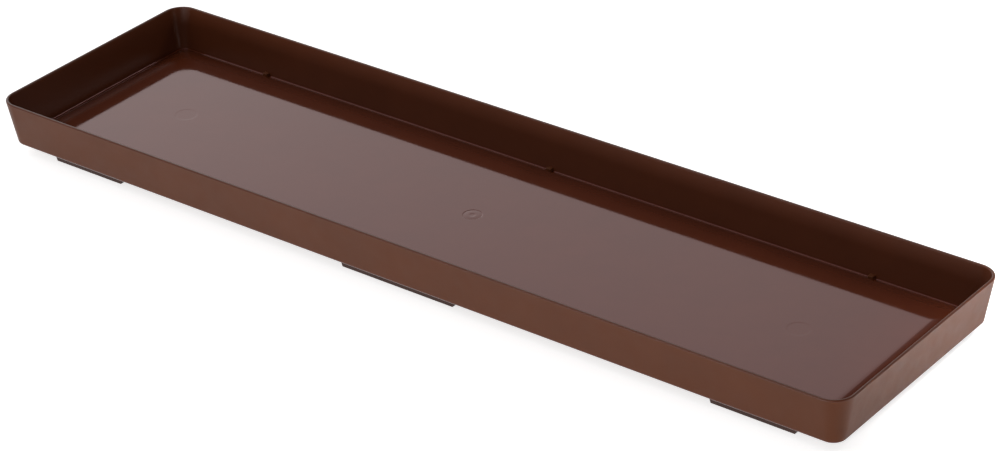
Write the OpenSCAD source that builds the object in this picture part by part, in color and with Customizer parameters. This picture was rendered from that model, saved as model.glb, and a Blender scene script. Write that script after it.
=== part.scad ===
/* [Tray] */
// Length of the tray over its rim
tray_length = 600; // [400:10:800]
// Width of the tray over its rim
tray_width = 163; // [130:1:220]
// Height of the wall from its base edge to the rim
wall_height = 29.2; // [22:0.2:45]
// Thickness of the wall, measured level
wall = 2; // [1.6:0.1:3]
// Lean of the wall away from upright, in degrees
wall_lean = 10; // [4:1:14]
// Radius of the four outer corners at the base edge
base_corner_radius = 8; // [6:0.5:20]
// Rounding of both edges of the rim
rim_round = 0.5; // [0.2:0.1:0.7]
// Rounding of the wall's outer base edge
base_round = 1.2; // [0.6:0.1:1.5]
// Hollow rounding at the foot of the wall, inside
wall_foot_round = 0.8; // [0.5:0.1:2]

/* [Floor] */
// Thickness of the floor
floor_thickness = 2; // [1.6:0.1:3]
// Rise of the level middle above the floor's edge at the wall
floor_rise = 4.8; // [3:0.1:8]
// Width of the border that rolls down from the level middle to the wall
border_width = 18; // [14:0.5:26]

/* [Lugs] */
// Width of a lug, along the wall
lug_width = 3.6; // [2:0.2:6]
// Reach of a lug from the foot of the wall onto the floor
lug_reach = 1.8; // [1:0.1:2.2]
// Height of a lug above the foot of the wall
lug_height = 3; // [2:0.2:6]
// Distance of the outer lugs from the tray's end, at its base edge
lug_setback = 73; // [50:1:90]

/* [Feet] */
// Height of the feet under the wall's base edge
foot_height = 6.7; // [4:0.1:12]
// Distance of a foot's outer side from the wall's base edge, at the sole
foot_inset = 6.4; // [5:0.1:8]
// Width of a foot across its sole
foot_width = 8; // [5:0.5:9]
// Length of the middle feet at the sole
middle_foot_length = 79.5; // [50:0.5:110]
// Length of the end feet at the sole
end_foot_length = 52.5; // [35:0.5:65]
// Distance of the end feet's soles from the tray's end, at its base edge
end_foot_setback = 30; // [25:1:40]
// Lean of a foot's end faces, in degrees
foot_end_lean = 15; // [0:1:20]
// Lean of a foot's long sides, in degrees
foot_side_lean = 4; // [0:1:8]

/* [Mould marks] */
// Diameter of the shallow dish round the gate, in the middle of the floor
gate_dish = 12; // [8:0.5:20]
// Depth of that dish
gate_depth = 0.4; // [0.2:0.1:0.8]
// Diameter of the gate's stub, left standing in the dish
gate_stub = 3; // [2:0.5:5]
// Diameter of the two ejector marks
ejector_mark = 14; // [8:0.5:18]
// Depth of the ejector marks
ejector_depth = 0.2; // [0.1:0.1:0.5]

/* [Hidden] */
$fn = 96;
arc_steps = 6;

// How far the rounded rim stands out beyond the base edge, and the base edge's half sizes
rim_spread = (wall_height - rim_round) * tan(wall_lean) + rim_round - rim_round / cos(wall_lean);
base_half_length = tray_length / 2 - rim_spread;
base_half_width = tray_width / 2 - rim_spread;

// Height of the base edge over the soles
base_level = foot_height;

// The wall's inner face, measured in from the base edge, at the floor's edge
wall_foot = wall - floor_thickness * tan(wall_lean);

// The gutter line, where the rolled border starts, measured in from the base edge
gutter = wall_foot + wall_foot_round;
ledge_end = gutter + wall_foot_round;

// The border's arc lies level at the top and comes down to the gutter line
border_radius = (border_width * border_width + floor_rise * floor_rise) / (2 * floor_rise);
level_top = floor_thickness + floor_rise;
arc_axis = level_top - border_radius;

// Depth of the solid that the underside of the floor is cut from, well below the soles
deep = 2 * foot_height + level_top;
overlap = 1;

// Places along the tray: the outer lugs and ejector marks, and the middle of the end feet
row_x = base_half_length - lug_setback;
end_foot_x = base_half_length - end_foot_setback - end_foot_length / 2;

foot_tone = "#4a2a20";
tray_tone = "#5c3427";

// Points of an arc round c, from angle a to angle b
function arc(c, r, a, b) =
    [for (i = [0:arc_steps]) c + r * [cos(a + (b - a) * i / arc_steps), sin(a + (b - a) * i / arc_steps)]];

// Level places of the wall's faces at height z over the base edge, measured out from the base edge
function outer_face(z) = z * tan(wall_lean);
function inner_face(z) = outer_face(z) - wall;

// Section of the wall, its rim, its foot and a strip of floor; x is measured out from the base edge
module wall_section() {
    slant = 1 / cos(wall_lean);
    rim_z = wall_height - rim_round;
    hollow_z = floor_thickness + wall_foot_round;
    polygon(concat(
        [[-ledge_end, 0]],
        arc([outer_face(base_round) - base_round * slant, base_round], base_round, -90, -wall_lean),
        arc([outer_face(rim_z) - rim_round * slant, rim_z], rim_round, -wall_lean, 90),
        arc([inner_face(rim_z) + rim_round * slant, rim_z], rim_round, 90, 180 - wall_lean),
        arc([inner_face(hollow_z) - wall_foot_round * slant, hollow_z], wall_foot_round, -wall_lean, -90),
        [[-ledge_end, floor_thickness]]
    ));
}

// One straight stretch of wall, centred on the origin, facing +Y
module straight_wall(length) {
    translate([length / 2, 0, 0])
        rotate([90, 0, -90])
            mirror([1, 0, 0])
                linear_extrude(length)
                    wall_section();
}

// One quarter-turn corner of wall round its own upright axis
module corner_wall() {
    rotate_extrude(angle = 90)
        translate([base_corner_radius, 0])
            wall_section();
}

module walls() {
    corner_x = base_half_length - base_corner_radius;
    corner_y = base_half_width - base_corner_radius;
    for (turn = [0, 180])
        rotate([0, 0, turn]) {
            translate([0, base_half_width, 0])
                straight_wall(2 * corner_x);
            translate([base_half_length, 0, 0])
                rotate([0, 0, -90])
                    straight_wall(2 * corner_y);
            translate([corner_x, corner_y, 0])
                corner_wall();
            translate([-corner_x, corner_y, 0])
                rotate([0, 0, 90])
                    corner_wall();
        }
}

// Solid under an arched top that runs along X: level in the middle, rolled down at both sides
module arched_bar(length, half_width) {
    level_half = half_width - gutter - border_width;
    intersection() {
        union() {
            translate([-length / 2, -level_half, -deep])
                cube([length, 2 * level_half, deep + level_top]);
            for (side = [-1, 1])
                translate([-length / 2, side * level_half, arc_axis])
                    rotate([0, 90, 0])
                        cylinder(h = length, r = border_radius);
        }
        translate([-length / 2, gutter - half_width, -deep])
            cube([length, 2 * (half_width - gutter), 2 * deep]);
    }
}

// Everything under the floor's upper face
module under_floor() {
    intersection() {
        arched_bar(2 * base_half_length, base_half_width);
        rotate([0, 0, 90])
            arched_bar(2 * base_half_width, base_half_length);
    }
}

// Upright block that ends halfway through the wall, with the tray's round corners
module inside_wall(height) {
    round = base_corner_radius - wall / 2;
    half_x = base_half_length - wall / 2;
    half_y = base_half_width - wall / 2;
    linear_extrude(height)
        union() {
            square([2 * (half_x - round), 2 * half_y], center = true);
            square([2 * half_x, 2 * (half_y - round)], center = true);
            for (sx = [-1, 1], sy = [-1, 1])
                translate([sx * (half_x - round), sy * (half_y - round)])
                    circle(round);
        }
}

// The floor as one sheet, raised and level in the middle
module floor_sheet() {
    difference() {
        intersection() {
            under_floor();
            inside_wall(level_top + overlap);
        }
        translate([0, 0, -floor_thickness])
            under_floor();
    }
}

// A small block in the corner between wall and floor, at the middle of the long wall that faces +Y
module lug() {
    top = floor_thickness + lug_height;
    bottom = 0.6 * floor_thickness;
    tip = -wall_foot - lug_reach;
    translate([lug_width / 2, base_half_width, 0])
        rotate([90, 0, -90])
            mirror([1, 0, 0])
                linear_extrude(lug_width)
                    polygon([
                        [inner_face(bottom) + wall / 2, bottom],
                        [inner_face(top) + wall / 2, top],
                        [tip, top],
                        [tip, bottom]
                    ]);
}

// Dish with a stub where the moulding was filled, and the marks of two ejector pins
module mould_marks() {
    translate([0, 0, level_top - gate_depth])
        difference() {
            cylinder(h = gate_depth + overlap, d = gate_dish);
            translate([0, 0, -overlap])
                cylinder(h = gate_depth + overlap, d = gate_stub);
        }
    for (side = [-1, 1])
        translate([side * row_x, 0, level_top - ejector_depth])
            cylinder(h = ejector_depth + overlap, d = ejector_mark);
}

module tray() {
    color(tray_tone)
        translate([0, 0, base_level])
            difference() {
                union() {
                    walls();
                    floor_sheet();
                    for (turn = [0, 180], x = [-row_x, 0, row_x])
                        rotate([0, 0, turn])
                            translate([x, 0, 0])
                                lug();
                }
                mould_marks();
            }
}

// A foot strip under the edge that faces +Y, centred on x; its top fits the underside of the floor
module foot(x, length) {
    head = level_top;
    end_spread = (foot_height + head) * tan(foot_end_lean);
    side_spread = (foot_height + head) * tan(foot_side_lean);
    outer_y = base_half_width - foot_inset;
    inner_y = outer_y - foot_width;
    half = length / 2;
    color(foot_tone)
        translate([0, 0, base_level])
            intersection() {
                translate([x, base_half_width, 0])
                    rotate([90, 0, 0])
                        linear_extrude(base_half_width)
                            polygon([
                                [-half, -foot_height], [half, -foot_height],
                                [half + end_spread, head], [-half - end_spread, head]
                            ]);
                translate([-base_half_length, 0, 0])
                    rotate([90, 0, 90])
                        linear_extrude(2 * base_half_length)
                            polygon([
                                [inner_y, -foot_height], [outer_y, -foot_height],
                                [outer_y + side_spread, head], [inner_y - side_spread, head]
                            ]);
                translate([0, 0, -floor_thickness])
                    under_floor();
            }
}

module front_left_foot() {
    rotate([0, 0, 180])
        foot(end_foot_x, end_foot_length);
}

module front_middle_foot() {
    rotate([0, 0, 180])
        foot(0, middle_foot_length);
}

module front_right_foot() {
    rotate([0, 0, 180])
        foot(-end_foot_x, end_foot_length);
}

module rear_left_foot() {
    foot(-end_foot_x, end_foot_length);
}

module rear_middle_foot() {
    foot(0, middle_foot_length);
}

module rear_right_foot() {
    foot(end_foot_x, end_foot_length);
}

tray();
front_left_foot();
front_middle_foot();
front_right_foot();
rear_left_foot();
rear_middle_foot();
rear_right_foot();
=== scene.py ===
import math

import bmesh
import bpy
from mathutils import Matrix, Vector


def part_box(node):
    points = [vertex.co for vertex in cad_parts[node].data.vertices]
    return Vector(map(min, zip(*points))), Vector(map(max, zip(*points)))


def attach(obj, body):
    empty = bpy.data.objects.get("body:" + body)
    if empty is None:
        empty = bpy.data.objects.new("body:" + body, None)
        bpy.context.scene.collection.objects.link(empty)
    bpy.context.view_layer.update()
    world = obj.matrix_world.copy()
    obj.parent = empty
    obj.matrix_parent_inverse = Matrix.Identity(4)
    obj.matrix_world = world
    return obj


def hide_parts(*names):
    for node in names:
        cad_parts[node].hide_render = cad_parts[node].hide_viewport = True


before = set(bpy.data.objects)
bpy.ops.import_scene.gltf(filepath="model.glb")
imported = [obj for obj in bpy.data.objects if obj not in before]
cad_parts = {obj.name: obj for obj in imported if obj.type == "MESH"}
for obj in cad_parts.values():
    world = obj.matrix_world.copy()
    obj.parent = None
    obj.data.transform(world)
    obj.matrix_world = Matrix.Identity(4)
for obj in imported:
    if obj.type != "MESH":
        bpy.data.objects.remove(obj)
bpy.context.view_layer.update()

# Tray: the open shell that catches the water, one injection moulding in brown polypropylene.
# A thin wall leans out all round. The floor is raised and level in the middle, and rolls down to a
# narrow gutter at the foot of the wall.
MM = 0.001
tray_low, tray_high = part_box("tray")
wall = 2.0 * MM
wall_height = tray_high.z - tray_low.z
wall_lean = 10
rim_round = 0.8 * MM
base_round = 1.5 * MM
base_corner = 8.0 * MM
gutter_round = 0.8 * MM
floor_thickness = 2.0 * MM
floor_rise = 4.8 * MM
border_width = 18.0 * MM
middle_corner = 9.0 * MM
level_edge = 1.5 * MM
gutter_start = -116
corner_steps = 16
border_steps = 28

slope = math.tan(math.radians(wall_lean))
slant = 1 / math.cos(math.radians(wall_lean))
rim_spread = (wall_height - rim_round) * slope + rim_round - rim_round * slant
base_x = tray_high.x - rim_spread
base_y = tray_high.y - rim_spread
gutter = wall - floor_thickness * slope + gutter_round
border_radius = (border_width**2 + floor_rise**2) / (2 * floor_rise)
level_top = floor_thickness + floor_rise


def tray_loop(mesh, out, height, corner):
    """One loop of points round the tray, out from its base edge and above it, with that corner radius."""
    centre_x, centre_y = base_x + out - corner, base_y + out - corner
    loop = []
    for quarter, (side_x, side_y) in enumerate(((1, 1), (-1, 1), (-1, -1), (1, -1))):
        for step in range(corner_steps + 1):
            turn = math.pi / 2 * (quarter + step / corner_steps)
            loop.append(mesh.verts.new((
                side_x * centre_x + corner * math.cos(turn),
                side_y * centre_y + corner * math.sin(turn),
                tray_low.z + height,
            )))
    return loop


def rounded_edge(out, height, radius, start, end, steps=8, hold=0.12 * MM):
    """Section points of a rounded edge, in degrees, with a holding point on the flat face at each end."""
    way = 1 if end > start else -1
    points = []
    for step in range(steps + 1):
        turn = math.radians(start + (end - start) * step / steps)
        points.append((out + radius * math.cos(turn), height + radius * math.sin(turn)))
    for turn, reach, place in ((start, -hold, 0), (end, hold, len(points) + 1)):
        turn = math.radians(turn)
        edge = points[0] if place == 0 else points[-1]
        points.insert(place, (edge[0] - way * reach * math.sin(turn), edge[1] + way * reach * math.cos(turn)))
    return points


def skin(mesh, loops, finish):
    """Closes the strip between each loop and the next one with faces of one finish."""
    for near, far in zip(loops, loops[1:]):
        for i in range(len(near)):
            mesh.faces.new((near[i - 1], near[i], far[i], far[i - 1])).material_index = finish


def border_height(run):
    """Height of the rolled border over the base edge, at a distance in from the gutter."""
    return level_top - border_radius + math.sqrt(border_radius**2 - (border_width - run) ** 2)


POLISHED, SATIN, SILKY = 0, 1, 2
shell = bmesh.new()

# The floor's rolled border, from the level middle out to the gutter, and the same below
border_runs = [border_width * (1 - step / border_steps) for step in range(border_steps)]
border_runs = [border_width + level_edge, *border_runs]


def border_loops(drop):
    loops = []
    for run in border_runs:
        corner = base_corner - gutter + (middle_corner - base_corner + gutter) * run / border_width
        height = level_top if run > border_width else border_height(run)
        loops.append(tray_loop(shell, -gutter - run, height - drop, corner))
    return loops


floor_loops = border_loops(0)
under_loops = border_loops(floor_thickness)

# The wall's section: gutter, inner face, rim, outer face and base edge
rim_z = wall_height - rim_round
gutter_z = floor_thickness + gutter_round
gutter_out = gutter_z * slope - wall - gutter_round * slant
gutter_section = rounded_edge(gutter_out, gutter_z, gutter_round, gutter_start, -wall_lean, 12)
rim_section = [
    *rounded_edge(rim_z * slope - wall + rim_round * slant, rim_z, rim_round, 180 - wall_lean, 90),
    *rounded_edge(rim_z * slope - rim_round * slant, rim_z, rim_round, 90, -wall_lean),
]
base_section = [
    *rounded_edge(base_round * slope - base_round * slant, base_round, base_round, -wall_lean, -90),
    (-gutter, 0),
]
gutter_loops, rim_loops, base_loops = (
    [tray_loop(shell, out, z, base_corner + out) for out, z in section]
    for section in (gutter_section, rim_section, base_section))
skin(shell, [*floor_loops, *gutter_loops], POLISHED)
skin(shell, [gutter_loops[-1], *rim_loops], SILKY)
skin(shell, [rim_loops[-1], base_loops[0]], SATIN)
skin(shell, base_loops[:-1], POLISHED)
skin(shell, [*base_loops[-2:], *reversed(under_loops)], SATIN)

# Mould marks in the level middle: a crowned dish with a dimple at the gate, and two ejector discs.
# Each section gives radius and height in mm, from the outside in.
gate_section = [
    (6.8, 0), (6.05, 0), (5.95, -0.005), (5.75, -0.1), (5.65, -0.115), (5.3, -0.11), (4.8, -0.08),
    (4.3, -0.05), (3.7, -0.025), (3.0, -0.01), (2.3, -0.005), (2.0, -0.02), (1.6, -0.06), (1.2, -0.1),
    (0.7, -0.11),
]
ejector_section = [(7.8, 0), (7.1, 0), (6.9, -0.008), (6.6, -0.028), (6.3, -0.036), (5.8, -0.036)]
ejector_setback = 73.0 * MM
ejector_x = base_x - ejector_setback
mark_steps = 64
mark_edges = []
for mark_x, section in ((0, gate_section), (ejector_x, ejector_section), (-ejector_x, ejector_section)):
    rings = []
    for radius, height in section:
        rings.append([
            shell.verts.new((
                mark_x + radius * MM * math.cos(math.tau * i / mark_steps),
                radius * MM * math.sin(math.tau * i / mark_steps),
                tray_low.z + level_top + height * MM,
            ))
            for i in range(mark_steps)
        ])
    skin(shell, rings, POLISHED)
    shell.faces.new(rings[-1]).material_index = POLISHED
    mark_edges += [shell.edges.get((rings[0][i - 1], rings[0][i])) for i in range(mark_steps)]
middle = floor_loops[0]
middle_edges = [shell.edges.get((middle[i - 1], middle[i])) for i in range(len(middle))]
bmesh.ops.triangle_fill(shell, use_beauty=True, edges=middle_edges + mark_edges, normal=(0, 0, 1))
shell.faces.new(under_loops[0]).material_index = SATIN
bmesh.ops.recalc_face_normals(shell, faces=shell.faces)
for face in shell.faces:
    face.smooth = True

tray_mesh = bpy.data.meshes.new("tray_shell")
shell.to_mesh(tray_mesh)
shell.free()
tray_shell = bpy.data.objects.new("tray_shell", tray_mesh)
bpy.context.collection.objects.link(tray_shell)


def moulded_plastic(name, dark, light, smooth, rough, grain, wave, shine=0.5, tint=(1, 1, 1)):
    """Brown moulded plastic: cloudy pigment, uneven gloss, fine mould grain and slow shrinkage waves."""
    finish = bpy.data.materials.new(name)
    finish.use_nodes = True
    nodes, links = finish.node_tree.nodes, finish.node_tree.links
    plastic = nodes["Principled BSDF"]
    plastic.inputs["IOR"].default_value = 1.5
    plastic.inputs["Specular IOR Level"].default_value = shine
    plastic.inputs["Specular Tint"].default_value = (*tint, 1)
    place = nodes.new("ShaderNodeTexCoord")

    def noise(scale, detail):
        texture = nodes.new("ShaderNodeTexNoise")
        texture.inputs["Scale"].default_value = scale
        texture.inputs["Detail"].default_value = detail
        links.new(place.outputs["Object"], texture.inputs["Vector"])
        return texture.outputs["Fac"]

    pigment = nodes.new("ShaderNodeValToRGB")
    pigment.color_ramp.elements[0].position, pigment.color_ramp.elements[1].position = 0.3, 0.7
    pigment.color_ramp.elements[0].color, pigment.color_ramp.elements[1].color = (*dark, 1), (*light, 1)
    links.new(noise(45, 6), pigment.inputs["Fac"])
    links.new(pigment.outputs["Color"], plastic.inputs["Base Color"])

    gloss = nodes.new("ShaderNodeMapRange")
    gloss.inputs["From Min"].default_value, gloss.inputs["From Max"].default_value = 0.3, 0.7
    gloss.inputs["To Min"].default_value, gloss.inputs["To Max"].default_value = smooth, rough
    links.new(noise(120, 4), gloss.inputs["Value"])
    links.new(gloss.outputs["Result"], plastic.inputs["Roughness"])

    grain_bump = nodes.new("ShaderNodeBump")
    grain_bump.inputs["Distance"].default_value = grain
    links.new(noise(1400, 2), grain_bump.inputs["Height"])
    wave_bump = nodes.new("ShaderNodeBump")
    wave_bump.inputs["Distance"].default_value = wave
    links.new(noise(38, 1), wave_bump.inputs["Height"])
    links.new(grain_bump.outputs["Normal"], wave_bump.inputs["Normal"])
    links.new(wave_bump.outputs["Normal"], plastic.inputs["Normal"])
    return finish


tray_mesh.materials.append(moulded_plastic(
    "polished_brown", dark=(0.099, 0.0222, 0.009), light=(0.111, 0.0248, 0.01),
    smooth=0.05, rough=0.075, grain=0.0004 * MM, wave=0.004 * MM, tint=(1, 0.54, 0.555)))
# The tray is one plastic. The satin outer walls and lugs get a lighter, greyer base colour than the polished
# floor, which is painted light for the light the outer walls catch. The silky inner walls are set a little
# greyer to fit how they are lit.
tray_mesh.materials.append(moulded_plastic(
    "satin_brown", dark=(0.107, 0.0302, 0.0096), light=(0.119, 0.0335, 0.0107),
    smooth=0.42, rough=0.5, grain=0.02 * MM, wave=0.01 * MM, shine=0.2))
tray_mesh.materials.append(moulded_plastic(
    "silky_brown", dark=(0.101, 0.0265, 0.0102), light=(0.113, 0.0295, 0.0114),
    smooth=0.28, rough=0.32, grain=0.002 * MM, wave=0.004 * MM, shine=0.28))
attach(tray_shell, "root")
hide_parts("tray")

# Lugs: six small blocks in the corner between the long walls and the floor.
# They belong to the tray's moulding, so they have its plastic and grow out of wall and floor.
lug_width = 3.6 * MM
lug_reach = 2.4 * MM
lug_height = 2.2 * MM
lug_edge = 0.3 * MM
lug_top = floor_thickness + lug_height
lug_bottom = 0.6 * floor_thickness
lug_tip = -gutter + gutter_round - lug_reach
lug_section = [
    (lug_bottom * slope - wall / 2, lug_bottom),
    (lug_top * slope - wall / 2, lug_top),
    (lug_tip, lug_top),
    (lug_tip, lug_bottom),
]
lugs = bmesh.new()
for side in (-1, 1):
    for lug_x in (-ejector_x, 0, ejector_x):
        flanks = [
            [lugs.verts.new((x, side * (base_y + out), tray_low.z + z)) for out, z in lug_section]
            for x in (lug_x - lug_width / 2, lug_x + lug_width / 2)
        ]
        skin(lugs, flanks, 0)
        for flank in flanks:
            lugs.faces.new(flank)
bmesh.ops.recalc_face_normals(lugs, faces=lugs.faces)
bmesh.ops.bevel(lugs, geom=lugs.edges[:], offset=lug_edge, segments=3, profile=0.5, affect="EDGES")
for face in lugs.faces:
    face.smooth = True
lug_mesh = bpy.data.meshes.new("tray_lugs")
lugs.to_mesh(lug_mesh)
lugs.free()
tray_lugs = bpy.data.objects.new("tray_lugs", lug_mesh)
bpy.context.collection.objects.link(tray_lugs)
lug_mesh.materials.append(bpy.data.materials["satin_brown"])
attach(tray_lugs, "root")

# Feet: six strips under the long edges, which keep the tray off the sill so that air gets under it.
# They are plain solid plastic, dull from the mould. Their base colour is painted much darker than the tray's,
# as painted shade for the shadow under the tray's overhang.
# The dark base colour below is painted shade under the tray, not a darker plastic.
foot_painted_shade = moulded_plastic(
    "painted_shade_brown", dark=(0.042, 0.0135, 0.0078), light=(0.052, 0.0165, 0.0095),
    smooth=0.45, rough=0.55, grain=0.03 * MM, wave=0.01 * MM, shine=0.35)
for edge in ("front", "rear"):
    for place in ("left", "middle", "right"):
        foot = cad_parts[f"{edge}_{place}_foot"]
        foot.data.materials.clear()
        foot.data.materials.append(foot_painted_shade)

# Studio: a white table in front of a white backdrop that is brightest behind the tray's left end.
# Soft light comes from the left, the front and the right rear, and low lamps light the outer walls.
# The table is white to the camera and in reflections, and still takes the tray's soft shadow.
table_half = 4
table_glow = 0.74
table_mesh = bpy.data.meshes.new("table")
table_corners = [(side_x * table_half, side_y * table_half, 0)
                 for side_x, side_y in ((-1, -1), (1, -1), (1, 1), (-1, 1))]
table_mesh.from_pydata(table_corners, [], [(0, 1, 2, 3)])
table = bpy.data.objects.new("table", table_mesh)
bpy.context.collection.objects.link(table)
table_white = bpy.data.materials.new("table_white")
table_white.use_nodes = True
nodes, links = table_white.node_tree.nodes, table_white.node_tree.links
paint = nodes["Principled BSDF"]
paint.inputs["Base Color"].default_value = (0.85, 0.85, 0.85, 1)
paint.inputs["Roughness"].default_value = 0.9
paint.inputs["Specular IOR Level"].default_value = 0.0
paint.inputs["Emission Color"].default_value = (1, 1, 1, 1)
ray = nodes.new("ShaderNodeLightPath")
seen = ray.outputs["Is Camera Ray"]
for kind in ("Is Glossy Ray", "Is Transmission Ray"):
    either = nodes.new("ShaderNodeMath")
    either.operation = "MAXIMUM"
    links.new(seen, either.inputs[0])
    links.new(ray.outputs[kind], either.inputs[1])
    seen = either.outputs["Value"]
glow = nodes.new("ShaderNodeMath")
glow.operation = "MULTIPLY"
glow.inputs[1].default_value = table_glow
links.new(seen, glow.inputs[0])
links.new(glow.outputs["Value"], paint.inputs["Emission Strength"])
table_mesh.materials.append(table_white)

# The room's soft glows: turn from the rear towards the right and rise, in degrees, then focus and strength
room = bpy.data.worlds.new("room")
bpy.context.scene.world = room
room.use_nodes = True
nodes, links = room.node_tree.nodes, room.node_tree.links
direction = nodes.new("ShaderNodeTexCoord")
light = None
glows = (
    (-62, 14, 8, 1.5),
    (-31, 32, 200, 0.22),
    (-100, 55, 6, 1.05),
    (180, 35, 3, 0.5),
    (45, 16, 8, 0.5),
)
for turn, rise, focus, strength in glows:
    turn, rise = math.radians(turn), math.radians(rise)
    facing = nodes.new("ShaderNodeVectorMath")
    facing.operation = "DOT_PRODUCT"
    facing.inputs[1].default_value = (
        math.sin(turn) * math.cos(rise), math.cos(turn) * math.cos(rise), math.sin(rise))
    links.new(direction.outputs["Generated"], facing.inputs[0])
    front = nodes.new("ShaderNodeMath")
    front.operation = "MAXIMUM"
    front.inputs[1].default_value = 0
    links.new(facing.outputs["Value"], front.inputs[0])
    soft = nodes.new("ShaderNodeMath")
    soft.operation = "POWER"
    soft.inputs[1].default_value = focus
    links.new(front.outputs["Value"], soft.inputs[0])
    part = nodes.new("ShaderNodeMath")
    part.operation = "MULTIPLY_ADD"
    part.inputs[1].default_value = strength
    part.inputs[2].default_value = 0
    links.new(soft.outputs["Value"], part.inputs[0])
    if light:
        links.new(light, part.inputs[2])
    light = part.outputs["Value"]
links.new(light, nodes["Background"].inputs["Strength"])
nodes["Background"].inputs["Color"].default_value = (1, 1, 1, 1)

# Lamps: name, place, aim, width and height, radiance, and spread of the beam in degrees
lamps = (
    ("backdrop", (-1.787, 1.841, 1.3), (-0.487, -0.059, 0), (2, 1.5), 0.66, 180),
    ("front_lamp", (0, -1.5, 0.07), (0, 0, 0.03), (1.8, 0.13), 12.5, 180),
    ("right_lamp", (1.6, 0.1, 0.02), (0, 0, 0.02), (1.0, 0.036), 19, 180),
    ("rear_lamp", (1.2, 1.5, 1.3), (0, 0, 0), (0.4, 0.4), 5.5, 180),
    ("corner_lamp", (1.6, -0.15, 0.35), (-0.29, 0.07, 0.03), (0.25, 0.25), 5.5, 180),
    ("table_lamp", (0.75, 0.25, 0.9), (0.48, 0.09, 0), (0.15, 0.15), 10.5, 20),
)
for name, place, aim, (width, height), strength, spread in lamps:
    panel = bpy.data.lights.new(name, "AREA")
    panel.shape = "RECTANGLE"
    panel.size, panel.size_y = width, height
    panel.energy = strength * math.pi * width * height
    panel.spread = math.radians(spread)
    lamp = bpy.data.objects.new(name, panel)
    lamp.location = place
    lamp.rotation_euler = (Vector(aim) - Vector(place)).to_track_quat("-Z", "Y").to_euler()
    bpy.context.collection.objects.link(lamp)

# Camera: where the photographer stood, to the right of the tray's front and above it.
lens = bpy.data.cameras.new("camera")
lens.sensor_width = 36
lens.lens = 115.5
camera = bpy.data.objects.new("camera", lens)
camera.location = (1.01211, -1.24609, 0.91677)
camera.rotation_euler = [math.radians(angle) for angle in (60.406, 1.885, 37.460)]
bpy.context.collection.objects.link(camera)
bpy.context.scene.camera = camera
bpy.context.scene.view_settings.view_transform = "Standard"
